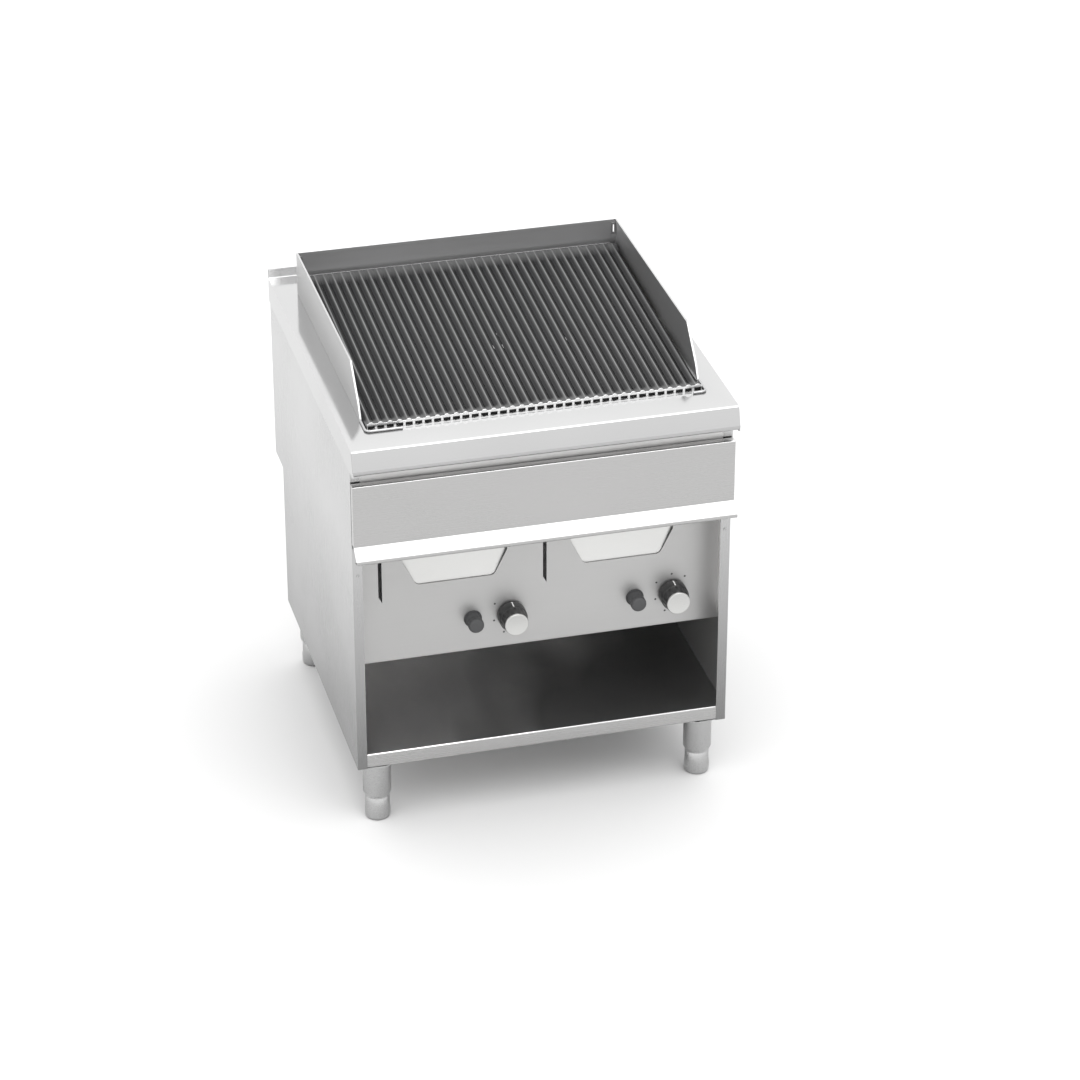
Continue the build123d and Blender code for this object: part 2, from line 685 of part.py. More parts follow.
def tab_slot(sign):
    """The upright slot through a corner tab and the back sheet behind it."""
    inner = SPLASH_X - TOP_SHEET - (TAB_W + TAB_SLOT_W) / 2
    through = (SPLASH_REAR_Y - 9, SPLASH_REAR_Y + 9)
    return block(side_of(sign, inner, inner + TAB_SLOT_W), through, TAB_SLOT_Z)


def splash_back():
    y = SPLASH_REAR_Y
    back = block((-SPLASH_X, SPLASH_X), (y - TOP_SHEET, y), (TOP_Z, SPLASH_Z))
    back += block((-SPLASH_X + 5, SPLASH_X - 5), (y - SPLASH_HEM, y - 1), (SPLASH_Z - 8, SPLASH_Z))
    back += block((-340, 340), (OPEN_REAR_Y + 1, y - 1), (TOP_Z, TOP_Z + TOP_SHEET))
    back += block((-340, 340), (GRATE_REAR_Y + 3, y - 1), (SHELF_Z, SHELF_Z + TOP_SHEET))
    for sign in SIDES.values():
        back -= tab_slot(sign)
    return back


# ---------------------------------------------------------------- grate
def tilted(shape):
    """Moves a shape drawn flat, front edge at y = 0 and top at z = 0, to the grate's place."""
    return Pos(0, GRATE_FRONT_Y, GRATE_FRONT_Z) * Rot(TILT, 0, 0) * shape


def grate_underside(y):
    """Height of the bars' feet, less a hair of clearance."""
    rise = (y - GRATE_FRONT_Y) * math.tan(math.radians(TILT))
    return GRATE_FRONT_Z + rise - BAR_DEPTH / math.cos(math.radians(TILT)) - 0.05


def grate_section(sign):
    """Ridged bars with open slots between them, joined by end rails and three cross rods."""
    outline = [
        (-RIDGE_W / 2, 0),
        (RIDGE_W / 2, 0),
        (BAR_W / 2, -BAR_DEPTH),
        (-BAR_W / 2, -BAR_DEPTH),
    ]
    profile = make_face(Polyline(*outline, close=True))
    middle = sign * SECTION_W / 2
    outer = (BARS_PER_SECTION - 1) / 2 * BAR_PITCH
    bars = None
    for index in range(BARS_PER_SECTION):
        x = middle - outer + index * BAR_PITCH
        bar = extrude(facing_front(BAR_LENGTH) * Pos(x, 0) * profile, BAR_LENGTH)
        bars = bar if bars is None else bars + bar
    across = (middle - SECTION_W / 2 + 0.4, middle + SECTION_W / 2 - 0.4)
    for y in ((0, FRONT_RAIL), (BAR_LENGTH - REAR_RAIL, BAR_LENGTH)):
        bars += block(across, y, (-BAR_DEPTH, -END_RAIL_DROP))
    for y in CROSS_ROD_Y:
        z = -BAR_DEPTH - 2
        bars += rod((middle - outer - 6, y, z), (middle + outer + 6, y, z), CROSS_ROD_R)
    return tilted(bars)


def drain_comb():
    """Serrated front rail: a tooth and a square drain hole at each bar, and a shelf with a ledge."""
    total = 2 * BARS_PER_SECTION
    half = SECTION_W - 1
    rear = COMB_Y + SHEET
    face = Pos(0, (COMB_BOTTOM_Z + COMB_TOP_Z) / 2) * Rectangle(2 * half, COMB_TOP_Z - COMB_BOTTOM_Z)
    columns = [(index - (total - 1) / 2) * BAR_PITCH for index in range(total)]
    for x in columns:
        face += Pos(x, TOOTH_Z) * Circle(TOOTH_R)
    for x in columns:
        face -= Pos(x, sum(DRAIN_Z) / 2) * Rectangle(DRAIN_W, DRAIN_Z[1] - DRAIN_Z[0])
    comb = plate_y(face, (COMB_Y, rear))
    ledge = (GRATE_FRONT_Y + 12.5, GRATE_FRONT_Y + 12.5 + SHEET)
    comb += block((-half, half), (COMB_Y, ledge[1]), (COMB_BOTTOM_Z, COMB_BOTTOM_Z + SHEET))
    return comb + block((-half, half), ledge, (COMB_BOTTOM_Z, grate_underside(ledge[0])))


def grate_rest():
    """Angle that carries the rear end of the grate."""
    y = (GRATE_REAR_Y - 14, GRATE_REAR_Y - 12)
    rest = block((-OPEN_X, OPEN_X), y, (905, grate_underside(y[0])))
    rest += block((-OPEN_X, OPEN_X), (GRATE_REAR_Y - 14, OPEN_REAR_Y), (905, 907))
    for sign in SIDES.values():
        side = side_of(sign, OPEN_X - 12, OPEN_X)
        rest += block(side, (OPEN_REAR_Y - 2, OPEN_REAR_Y), (880, 907))
    return rest


def guard_hook(side):
    """Bent wire welded to the front edge of a splash side; it lies round the end of the comb."""
    sign = SIDES[side]
    x = SPLASH_X - TOP_SHEET / 2
    tip = sign * (x - HOOK_LEG[side])
    path = FilletPolyline(
        (sign * x, SPLASH_FRONT_Y, HOOK_Z), (sign * x, HOOK_Y, HOOK_Z), (tip, HOOK_Y, HOOK_Z), radius=HOOK_BEND
    )
    start = Plane(origin=(sign * x, SPLASH_FRONT_Y, HOOK_Z), z_dir=(0, -1, 0))
    return sweep(start * Circle(HOOK_R), path=path)


# ---------------------------------------------------------------- legs
def leg_tube(x, y):
    """A round tube, tapered at its foot, with a flange and a closing plug at its top."""
    taper_z = FOOT_TOP_Z + 6
    tube = rod((x, y, taper_z), (x, y, BODY_Z - LEG_FLANGE), LEG_R)
    tube += cone((x, y, taper_z), (x, y, FOOT_TOP_Z + 1), LEG_R, FOOT_R + 0.5)
    tube += rod((x, y, BODY_Z - LEG_FLANGE), (x, y, BODY_Z), LEG_FLANGE_R)
    return tube - rod((x, y, FOOT_TOP_Z), (x, y, BODY_Z - 12), FOOT_STEM_R + FIT)


def foot(x, y):
    """Screw-in foot: a cup with a rounded base and its stem."""
    cup = rod((x, y, 0), (x, y, FOOT_TOP_Z), FOOT_R)
    cup = fillet(cup.edges().group_by(Axis.Z)[0], 3.0)
    cup = fillet(cup.edges().group_by(Axis.Z)[-1], 1.0)
    return cup + rod((x, y, FOOT_TOP_Z - 1), (x, y, BODY_Z - 22), FOOT_STEM_R)


def leg_screws():
    """Hex screws that hold the four leg flanges to the cabinet."""
    screws = []
    for sign in SIDES.values():
        for y in ENDS.values():
            for place in PolarLocations(LEG_SCREW_RING, 4):
                head = extrude(RegularPolygon(4.4, 6), 2.2)
                below = Pos(sign * LEG_X, y, BODY_Z - LEG_FLANGE - 2.2)
                screws.append((below * place * head).solids()[0])
    return screws


# ---------------------------------------------------------------- write the pieces
save("worktop", worktop())
save("back_panel_lower", lower_back())
save("back_panel_upper", upper_back())
save("cabinet_floor", cabinet_floor())
save("heat_shield", heat_shield())
save("cross_rail_front", cross_rail(BODY_FRONT_Y + 2.5, (806, 896), 30))
save("control_panel", control_panel())
save("panel_screws", panel_screws())
save("firebox", firebox())
save("gas_manifold", gas_manifold())
save("gas_inlet_pipe", gas_inlet_pipe())
save("drawer_front", drawer_front())
save("drawer_tray", drawer_tray())
save("splash_back", splash_back())
save("drain_comb", drain_comb())
save("grate_rest", grate_rest())
save("guard_hooks", [guard_hook(side).solids()[0] for side in SIDES])
save("leg_screws", leg_screws())
save("sight_reflectors", [sight_reflector(centre).solids()[0] for centre in WINDOW_X])
save("injectors", [injector(sign).solids()[0] for sign in SIDES.values()])

for end, rail_y in BURNER_RAIL_Y.items():
    save(f"burner_rail_{end}", burner_rail(rail_y))

for name, sign in SIDES.items():
    save(f"side_panel_{name}", side_panel(sign))
    save(f"burner_{name}", burner(sign))
    tamers = [flame_tamer(sign * MODULE_X + side * TUBE_DX) for side in (-1, 1)]
    save(f"flame_tamers_{name}", [tamer.solids()[0] for tamer in tamers])
    save(f"gas_valve_{name}", gas_valve(sign))
    save(f"feed_pipe_{name}", feed_pipe(sign))
    save(f"plunger_{name}", plunger(sign))
    save(f"spindle_{name}", spindle(sign))
    save(f"knob_{name}", knob(sign))
    save(f"knob_cap_{name}", knob_cap(sign))
    save(f"igniter_body_{name}", igniter_body(sign))
    save(f"igniter_button_{name}", igniter_button(sign))
    save(f"igniter_spring_{name}", igniter_spring(sign))
    save(f"drawer_runner_{name}", drawer_runner(sign))
    save(f"splash_side_{name}", splash_side(sign))
    save(f"grate_{name}", grate_section(sign))

pilots = [pilot_parts(sign) for sign in SIDES.values()]
for piece in pilots[0]:
    save(f"{piece}s", [group[piece].solids()[0] for group in pilots])

legs = [leg_tube(sign * LEG_X, y) for sign in SIDES.values() for y in ENDS.values()]
save("leg_tubes", [leg.solids()[0] for leg in legs])
for name, sign in SIDES.items():
    for end, y in ENDS.items():
        save(f"foot_{end}_{name}", foot(sign * LEG_X, y))
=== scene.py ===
import json
import math

import bmesh
import bpy
from mathutils import Matrix, Vector


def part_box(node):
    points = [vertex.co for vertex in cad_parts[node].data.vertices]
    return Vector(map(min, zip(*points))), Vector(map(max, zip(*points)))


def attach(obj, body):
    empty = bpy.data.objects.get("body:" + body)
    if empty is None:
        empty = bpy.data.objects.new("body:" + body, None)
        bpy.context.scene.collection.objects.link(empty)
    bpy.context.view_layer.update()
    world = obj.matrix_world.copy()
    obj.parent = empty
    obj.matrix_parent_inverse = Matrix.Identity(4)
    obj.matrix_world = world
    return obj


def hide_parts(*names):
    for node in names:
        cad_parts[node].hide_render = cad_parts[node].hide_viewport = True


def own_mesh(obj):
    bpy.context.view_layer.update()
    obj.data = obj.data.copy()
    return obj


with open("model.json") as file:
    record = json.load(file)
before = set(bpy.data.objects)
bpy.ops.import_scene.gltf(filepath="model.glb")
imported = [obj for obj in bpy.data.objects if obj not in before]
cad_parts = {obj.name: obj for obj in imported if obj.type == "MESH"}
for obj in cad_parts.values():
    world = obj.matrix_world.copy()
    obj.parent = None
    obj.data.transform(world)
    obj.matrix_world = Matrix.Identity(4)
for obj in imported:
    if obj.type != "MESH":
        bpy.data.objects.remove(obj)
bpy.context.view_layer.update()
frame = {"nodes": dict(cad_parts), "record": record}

MM = 0.001
SIDES = {"left": -1, "right": 1}
ENDS = ("front", "rear")


def span(node):
    """Lowest corner, highest corner and centre of a CAD node."""
    low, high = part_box(node)
    return low, high, (low + high) / 2


# ---------------------------------------------------------------- material helpers
# Noise scales are in cells per metre. A small one along an axis draws the grain out along it.
ALONG_X = (7.0, 1500.0, 1500.0)
ALONG_Z = (1500.0, 1500.0, 7.0)
EVEN_FINE = (900.0, 900.0, 900.0)
STAINS = (2.6, 2.6, 3.4)
REFLECTION_PATCHES = (4.6, 1.6, 2.2)
SLOW = (22.0, 22.0, 22.0)
LINE_GLOSS = 0.045
FINE_DEPTH = 0.1 * MM
COARSE_DEPTH = 0.2 * MM


def grey(level):
    """A neutral colour."""
    return (level, level, level)


def add_node(tree, kind, inputs=None, **settings):
    """A shader node: sockets given as inputs are linked, other values are set on their sockets."""
    node = tree.nodes.new(kind)
    for name, value in settings.items():
        setattr(node, name, value)
    for name, value in (inputs or {}).items():
        if isinstance(value, bpy.types.NodeSocket):
            tree.links.new(value, node.inputs[name])
        else:
            node.inputs[name].default_value = value
    return node


def start_material(name, **sockets):
    """A material with its Principled shader's constants set; returns it, its tree and the shader."""
    made = bpy.data.materials.new(name)
    made.use_nodes = True
    tree = made.node_tree
    shader = tree.nodes["Principled BSDF"]
    for socket, value in sockets.items():
        shader.inputs[socket].default_value = value
    return made, tree, shader


def stretched_noise(tree, scale, detail=3.0):
    """Noise whose grain is as fine, along each axis, as scale says."""
    place = add_node(tree, "ShaderNodeTexCoord").outputs["Object"]
    mapping = add_node(tree, "ShaderNodeMapping", {"Vector": place, "Scale": scale})
    noise = {"Vector": mapping.outputs["Vector"], "Scale": 1.0, "Detail": detail, "Roughness": 0.6}
    return add_node(tree, "ShaderNodeTexNoise", noise).outputs["Fac"]


def ranged(tree, value, low, high, start=0.25, stop=0.75):
    """The value, which lies between start and stop, as a number between low and high."""
    inputs = {"Value": value, "From Min": start, "From Max": stop, "To Min": low, "To Max": high}
    return add_node(tree, "ShaderNodeMapRange", inputs).outputs["Result"]


def colour_mix(tree, factor, first, second):
    """Blends two colours: the first at a factor of 0, the second at 1."""
    mix = add_node(tree, "ShaderNodeMix", data_type="RGBA")
    tree.links.new(factor, mix.inputs["Factor"])
    for index, colour in ((6, first), (7, second)):
        mix.inputs[index].default_value = (*colour, 1.0)
    return mix.outputs[2]


def bumped(tree, shader, height, strength, distance):
    """Gives the shader a relief of the given depth."""
    bump = add_node(tree, "ShaderNodeBump", {"Height": height, "Strength": strength, "Distance": distance})
    tree.links.new(bump.outputs["Normal"], shader.inputs["Normal"])


# ---------------------------------------------------------------- kinds of surface
def brushed_steel(name, light, dark, roughness, grain, bump=0.05):
    """Stainless sheet: fine lines along the grain, soft stains, and an uneven gloss."""
    made, tree, shader = start_material(name, Metallic=1.0)
    lines = stretched_noise(tree, grain, detail=4.0)
    stains = stretched_noise(tree, STAINS, detail=2.0)
    colour = colour_mix(tree, ranged(tree, stains, 0.0, 1.0), light, dark)
    tree.links.new(colour, shader.inputs["Base Color"])
    line_part = ranged(tree, lines, -LINE_GLOSS, LINE_GLOSS)
    stain_part = ranged(tree, stains, roughness - 0.03, roughness + 0.04)
    total = add_node(tree, "ShaderNodeMath", {0: line_part, 1: stain_part}, operation="ADD")
    tree.links.new(total.outputs[0], shader.inputs["Roughness"])
    bumped(tree, shader, lines, bump, FINE_DEPTH)
    return made


def paint_shade_by_height(made, low, high, dimmed):
    """Paints shade into a steel's colour: full colour at the upper height, dimmed towards the floor at the
    lower one.
    """
    tree = made.node_tree
    shader = tree.nodes["Principled BSDF"]
    plain = shader.inputs["Base Color"].links[0].from_socket
    place = add_node(tree, "ShaderNodeTexCoord").outputs["Object"]
    height = add_node(tree, "ShaderNodeSeparateXYZ", {"Vector": place}).outputs["Z"]
    scale = add_node(tree, "ShaderNodeVectorMath", {0: plain}, operation="SCALE")
    tree.links.new(ranged(tree, height, dimmed, 1.0, low, high), scale.inputs["Scale"])
    tree.links.new(scale.outputs["Vector"], shader.inputs["Base Color"])


def reflection_painted_steel(name, light, dark, roughness):
    """The compartment's sheet, with broad soft patches of a lighter and a darker grey that are painted
    reflections.
    """
    made, tree, shader = start_material(name, Metallic=1.0)
    patches = stretched_noise(tree, REFLECTION_PATCHES, detail=1.0)
    lines = stretched_noise(tree, ALONG_X, detail=4.0)
    colour = colour_mix(tree, ranged(tree, patches, 0.0, 1.0, 0.40, 0.58), light, dark)
    tree.links.new(colour, shader.inputs["Base Color"])
    tree.links.new(ranged(tree, lines, roughness - 0.04, roughness + 0.04), shader.inputs["Roughness"])
    bumped(tree, shader, lines, 0.04, FINE_DEPTH)
    return made


def grained(name, light, dark, roughness, grain_size, bump, metallic=0.0):
    """A moulded, cast or drawn surface: an even fine grain with slow changes of colour."""
    made, tree, shader = start_material(name, Metallic=metallic)
    fine = stretched_noise(tree, (1 / grain_size,) * 3)
    slow = stretched_noise(tree, SLOW, detail=2.0)
    tree.links.new(colour_mix(tree, ranged(tree, slow, 0.0, 1.0), light, dark), shader.inputs["Base Color"])
    tree.links.new(ranged(tree, fine, roughness - 0.06, roughness + 0.06), shader.inputs["Roughness"])
    bumped(tree, shader, fine, bump, COARSE_DEPTH)
    return made


def cast_iron(name, valley, ridge):
    """Seasoned iron: nearly black in the valleys, and rubbed grey along the ridges."""
    made, tree, shader = start_material(name, Metallic=0.55)
    wear = add_node(tree, "ShaderNodeAttribute", attribute_name="wear").outputs["Fac"]
    fine = stretched_noise(tree, (900.0, 500.0, 900.0), detail=4.0)
    slow = stretched_noise(tree, (30.0, 9.0, 30.0), detail=2.0)
    uneven = ranged(tree, slow, 0.75, 1.1)
    rubbed = add_node(tree, "ShaderNodeMath", {0: wear, 1: uneven}, operation="MULTIPLY")
    tree.links.new(colour_mix(tree, rubbed.outputs[0], valley, ridge), shader.inputs["Base Color"])
    tree.links.new(ranged(tree, wear, 0.62, 0.40, 0.0, 1.0), shader.inputs["Roughness"])
    bumped(tree, shader, fine, 0.25, 0.25 * MM)
    return made


def turned_face(name, light, dark):
    """A satin disc with fine turned rings."""
    made, tree, shader = start_material(name, Metallic=1.0)
    place = add_node(tree, "ShaderNodeTexCoord").outputs["Generated"]
    centred = {"Vector": place, "Location": (-0.5, -0.5, -0.5)}
    mapping = add_node(tree, "ShaderNodeMapping", centred)
    rings = {"Vector": mapping.outputs["Vector"], "Scale": 42.0, "Distortion": 0.4, "Detail": 2.0}
    wave = add_node(tree, "ShaderNodeTexWave", rings, wave_type="RINGS", rings_direction="Y")
    ring = wave.outputs["Fac"]
    tree.links.new(colour_mix(tree, ring, dark, light), shader.inputs["Base Color"])
    tree.links.new(ranged(tree, ring, 0.26, 0.34, 0.0, 1.0), shader.inputs["Roughness"])
    bumped(tree, shader, ring, 0.06, FINE_DEPTH)
    return made


def heated_steel(name, brown, straw, blue):
    """Sheet that has stood in the flame: straw and blue-grey stains, matt."""
    made, tree, shader = start_material(name, Metallic=1.0)
    heat = stretched_noise(tree, (9.0, 3.0, 20.0))
    fine = stretched_noise(tree, (400.0, 400.0, 400.0))
    ramp = add_node(tree, "ShaderNodeValToRGB", {"Fac": heat})
    stops = ramp.color_ramp.elements
    stops[0].position, stops[0].color = 0.35, (*brown, 1.0)
    stops[1].position, stops[1].color = 0.66, (*blue, 1.0)
    middle = stops.new(0.5)
    middle.color = (*straw, 1.0)
    tree.links.new(ramp.outputs["Color"], shader.inputs["Base Color"])
    tree.links.new(ranged(tree, fine, 0.42, 0.6), shader.inputs["Roughness"])
    bumped(tree, shader, fine, 0.12, COARSE_DEPTH)
    return made


# ---------------------------------------------------------------- materials
# Each steel: the lighter and the darker colour of its stains, its roughness, its grain and its bump; the
# compartment's two steels give the lighter and the darker colour of their painted reflections and their
# roughness only.
STEEL_TOP = brushed_steel("steel_top", grey(0.435), grey(0.415), 0.10, ALONG_X, 0.02)
STEEL_FRONT = brushed_steel("steel_front", (0.43, 0.428, 0.425), (0.41, 0.408, 0.405), 0.25, ALONG_X)
STEEL_PANEL = brushed_steel("steel_panel", (0.45, 0.448, 0.445), (0.43, 0.428, 0.425), 0.46, ALONG_X)
# Painted shade: the side panels' outer steel grows darker towards the floor.
STEEL_SIDE = brushed_steel("steel_side", grey(0.46), grey(0.44), 0.25, ALONG_Z)
paint_shade_by_height(STEEL_SIDE, 0.10, 0.64, 0.45)
# Painted light and reflections: the compartment's back sheet and floor get a far lighter steel than the outer
# sheet, patched with painted reflections.
STEEL_INSIDE = reflection_painted_steel("steel_inside", (0.97, 0.96, 0.955), grey(0.69), 0.44)
STEEL_DECK = reflection_painted_steel("steel_deck", (0.93, 0.92, 0.915), grey(0.42), 0.36)
# Painted light and shade: the side panels' inward faces get a far lighter steel than their outer faces,
# painted darker below 0.36 m inside the compartment.
STEEL_LINER = brushed_steel("steel_liner", (0.92, 0.915, 0.91), (0.86, 0.855, 0.85), 0.58, ALONG_Z, 0.04)
paint_shade_by_height(STEEL_LINER, 0.36, 0.40, 0.34)
# Painted light: the cross rail in the shaded gap under the worktop's nose gets a far lighter steel than the
# outer sheet.
STEEL_RAIL = brushed_steel("steel_rail", (0.80, 0.795, 0.79), (0.74, 0.735, 0.73), 0.60, ALONG_X, 0.04)
# Painted shade: the splash back's upward faces below 950 mm, under the grates' rear ends, get a nearly black
# steel.
STEEL_SHELF = brushed_steel("steel_shelf", grey(0.10), grey(0.08), 0.55, ALONG_X)
STEEL_COMB = brushed_steel("steel_comb", grey(0.84), grey(0.78), 0.26, ALONG_X, 0.01)
# Painted light: the front faces of the worktop's rear upstand get a far lighter steel than the rest of the
# same sheet.
STEEL_UPSTAND = brushed_steel("steel_upstand", grey(0.97), grey(0.94), 0.20, ALONG_X, 0.03)
STEEL_GUARD = brushed_steel("steel_guard", grey(0.43), grey(0.41), 0.34, ALONG_X, 0.03)
# Painted light: the splash guard's inward faces and its back sheet get a lighter steel than its outer faces.
STEEL_GUARD_IN = brushed_steel("steel_guard_in", grey(0.60), (0.55, 0.55, 0.555), 0.36, ALONG_X, 0.03)
STEEL_DULL = brushed_steel("steel_dull", grey(0.40), (0.36, 0.36, 0.365), 0.36, ALONG_X)
STEEL_BRIGHT = brushed_steel("steel_bright", grey(0.62), grey(0.58), 0.08, ALONG_X, 0.01)
# Painted light: the reflectors behind the panel's windows get a lighter steel than the panel in front of
# them.
STEEL_SIGHT = brushed_steel("steel_sight", (0.63, 0.63, 0.62), (0.59, 0.59, 0.58), 0.38, ALONG_X, 0.03)
STEEL_TUBE = brushed_steel("steel_tube", grey(0.45), grey(0.41), 0.28, EVEN_FINE)
STEEL_HEATED = heated_steel("steel_heated", (0.20, 0.17, 0.14), (0.33, 0.30, 0.25), (0.17, 0.18, 0.21))
IRON = cast_iron("cast_iron", (0.009, 0.009, 0.0095), grey(0.135))
PLASTIC = grained("black_plastic", (0.012, 0.012, 0.0125), grey(0.018), 0.30, 0.5 * MM, 0.08)
RUBBER = grained("black_rubber", (0.035, 0.036, 0.037), (0.05, 0.05, 0.052), 0.62, 0.35 * MM, 0.15)
PRINT = grained("dial_print", grey(0.03), grey(0.05), 0.5, 0.3 * MM, 0.05)
PAINT = grained("white_paint", (0.78, 0.78, 0.77), (0.70, 0.70, 0.69), 0.5, 0.3 * MM, 0.05)
BRASS = grained("brass", (0.66, 0.46, 0.19), (0.55, 0.38, 0.16), 0.30, 0.6 * MM, 0.05, metallic=1.0)
ALLOY = grained("drawn_alloy", (0.66, 0.66, 0.67), (0.56, 0.56, 0.58), 0.34, 0.7 * MM, 0.06, metallic=1.0)
ZINC = grained("cast_zinc", (0.50, 0.51, 0.53), (0.42, 0.43, 0.45), 0.46, 0.8 * MM, 0.2, metallic=1.0)
CERAMIC = grained("ceramic", (0.80, 0.78, 0.73), (0.72, 0.70, 0.65), 0.30, 0.8 * MM, 0.05)
KNOB_FACE = turned_face("turned_face", (0.56, 0.56, 0.55), (0.50, 0.50, 0.49))


# ---------------------------------------------------------------- mesh helpers
EDGE_ROUNDING = 0.45 * MM
SHEET_SHARP = 32.0  # degrees: edges that turn by more than this stay crisp
ROUND_SHARP = 40.0
GRATE_SHARP = 50.0
WELD = 0.001 * MM
FLAT = 0.4  # degrees: faces that differ by less than this become one


def body_of(node):
    """Body that a CAD node moves with."""
    groups = frame["record"]["behaviour"]["bodies"]
    return next(body for body, nodes in groups.items() if node in nodes)


def settle(name, bm, look, body, replaced, bevel=0.0, sharp=SHEET_SHARP):
    """Turns mesh data into a piece: sound normals, rounded edges, a material, a body to ride on."""
    bmesh.ops.recalc_face_normals(bm, faces=bm.faces)
    limit = math.radians(sharp)
    for face in bm.faces:
        face.smooth = True
    for edge in bm.edges:
        edge.smooth = edge.is_manifold and edge.calc_face_angle(0.0) < limit
    mesh = bpy.data.meshes.new(name)
    bm.to_mesh(mesh)
    bm.free()
    piece = bpy.data.objects.new(name, mesh)
    bpy.context.scene.collection.objects.link(piece)
    mesh.materials.append(look)
    if bevel:
        rounding = piece.modifiers.new("rounding", "BEVEL")
        rounding.width = bevel
        rounding.segments = 2
        rounding.limit_method = "ANGLE"
        rounding.angle_limit = limit
        rounding.harden_normals = True
    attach(piece, body)
    if replaced:
        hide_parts(replaced)
    return piece


def refine(node, look, second=None, takes_second=None):
    """The CAD node's own shape with clean faces and rounded edges; some faces may take a second look."""
    bm = bmesh.new()
    bm.from_mesh(frame["nodes"][node].data)
    bmesh.ops.remove_doubles(bm, verts=bm.verts, dist=WELD)
    bmesh.ops.dissolve_limit(bm, angle_limit=math.radians(FLAT), verts=bm.verts, edges=bm.edges)
    if second:
        for face in bm.faces:
            face.material_index = int(takes_second(face.normal, face.calc_center_median()))
    piece = settle(f"{node}_made", bm, look, body_of(node), node, EDGE_ROUNDING)
    if second:
        piece.data.materials.append(second)
    return piece


def skin(bm, rings):
    """Joins each closed ring of vertices to the next one."""
    for low, high in zip(rings, rings[1:]):
        for index in range(len(low)):
            after = (index + 1) % len(low)
            bm.faces.new((low[index], low[after], high[after], high[index]))


def lathe(bm, profile, origin, axis, steps=64, radius_at=None):
    """Turns a profile of (radius, distance) points round an axis and closes its two ends."""
    turn = Vector((0, 0, 1)).rotation_difference(Vector(axis)).to_matrix()
    rings = []
    for radius, distance in profile:
        ring = []
        for step in range(steps):
            angle = math.tau * step / steps
            r = radius_at(radius, distance, angle) if radius_at else radius
            point = Vector((r * math.cos(angle), r * math.sin(angle), distance))
            ring.append(bm.verts.new(Vector(origin) + turn @ point))
        rings.append(ring)
    skin(bm, rings)
    bm.faces.new(reversed(rings[0]))
    bm.faces.new(rings[-1])


# ---------------------------------------------------------------- camera, floor and lights
CAMERA_AT = Vector((-1.6882, -6.7382, 4.2634))
CAMERA_TURN = math.radians(14.816)
CAMERA_TILT = math.radians(28.921)
LENS_MM = 123.1
SENSOR_MM = 36.0
FLOOR_HALF = 14.0
KEY_AT = (0.8, -2.7, 3.6)
KEY_TARGET = (0.0, -0.2, 0.6)
KEY_SIZE = (2.0, 2.0)
KEY_WATTS = 34.0
SKY = ((0.0, 1.5), (0.3, 1.6), (0.48, 1.75), (1.0, 3.2))  # height of the direction, brightness there


def make_camera():
    """The scene camera, at the photograph's angle."""
    data = bpy.data.cameras.new("camera")
    data.lens = LENS_MM
    data.sensor_width = SENSOR_MM
    camera = bpy.data.objects.new("camera", data)
    camera.location = CAMERA_AT
    level = math.cos(CAMERA_TILT)
    forward = Vector((math.sin(CAMERA_TURN) * level, math.cos(CAMERA_TURN) * level, -math.sin(CAMERA_TILT)))
    camera.rotation_euler = forward.to_track_quat("-Z", "Y").to_euler()
    bpy.context.scene.collection.objects.link(camera)
    bpy.context.scene.camera = camera


def make_floor():
    """A plain pale floor."""
    made, tree, shader = start_material("floor", Roughness=0.85)
    tone = stretched_noise(tree, (1.2, 1.2, 1.2), detail=1.0)
    tree.links.new(colour_mix(tree, tone, grey(0.485), grey(0.50)), shader.inputs["Base Color"])
    bm = bmesh.new()
    bmesh.ops.create_grid(bm, x_segments=4, y_segments=4, size=FLOOR_HALF)
    mesh = bpy.data.meshes.new("floor")
    bm.to_mesh(mesh)
    bm.free()
    floor = bpy.data.objects.new("floor", mesh)
    mesh.materials.append(made)
    bpy.context.scene.collection.objects.link(floor)


def make_key_light():
    """One large soft light, above and in front."""
    data = bpy.data.lights.new("key", "AREA")
    data.shape = "RECTANGLE"
    data.size, data.size_y = KEY_SIZE
    data.energy = KEY_WATTS
    light = bpy.data.objects.new("key", data)
    light.location = KEY_AT
    light.rotation_euler = (Vector(KEY_TARGET) - Vector(KEY_AT)).to_track_quat("-Z", "Y").to_euler()
    bpy.context.scene.collection.objects.link(light)


def make_world():
    """A white room, brighter overhead."""
    world = bpy.data.worlds.new("studio")
    world.use_nodes = True
    tree = world.node_tree
    background = tree.nodes["Background"]
    background.inputs["Color"].default_value = (1.0, 1.0, 1.0, 1.0)
    direction = add_node(tree, "ShaderNodeTexCoord").outputs["Generated"]
    height = add_node(tree, "ShaderNodeSeparateXYZ", {"Vector": direction}).outputs["Z"]
    peak = SKY[-1][1]
    ramp = add_node(tree, "ShaderNodeValToRGB", {"Fac": height})
    stops = ramp.color_ramp.elements
    for index, (at, level) in enumerate(SKY):
        stop = stops[index] if index < 2 else stops.new(at)
        stop.position = at
        stop.color = (*grey(level / peak), 1.0)
    strength = {0: ramp.outputs["Color"], 1: peak}
    scaled = add_node(tree, "ShaderNodeMath", strength, operation="MULTIPLY")
    tree.links.new(scaled.outputs[0], background.inputs["Strength"])
    bpy.context.scene.world = world


make_camera()
make_floor()
make_world()
make_key_light()
bpy.context.scene.view_settings.view_transform = "Standard"


# ---------------------------------------------------------------- sheet metal, pipes and fittings
SHELF_BELOW = 950 * MM
UPSTAND_BEHIND = 400 * MM

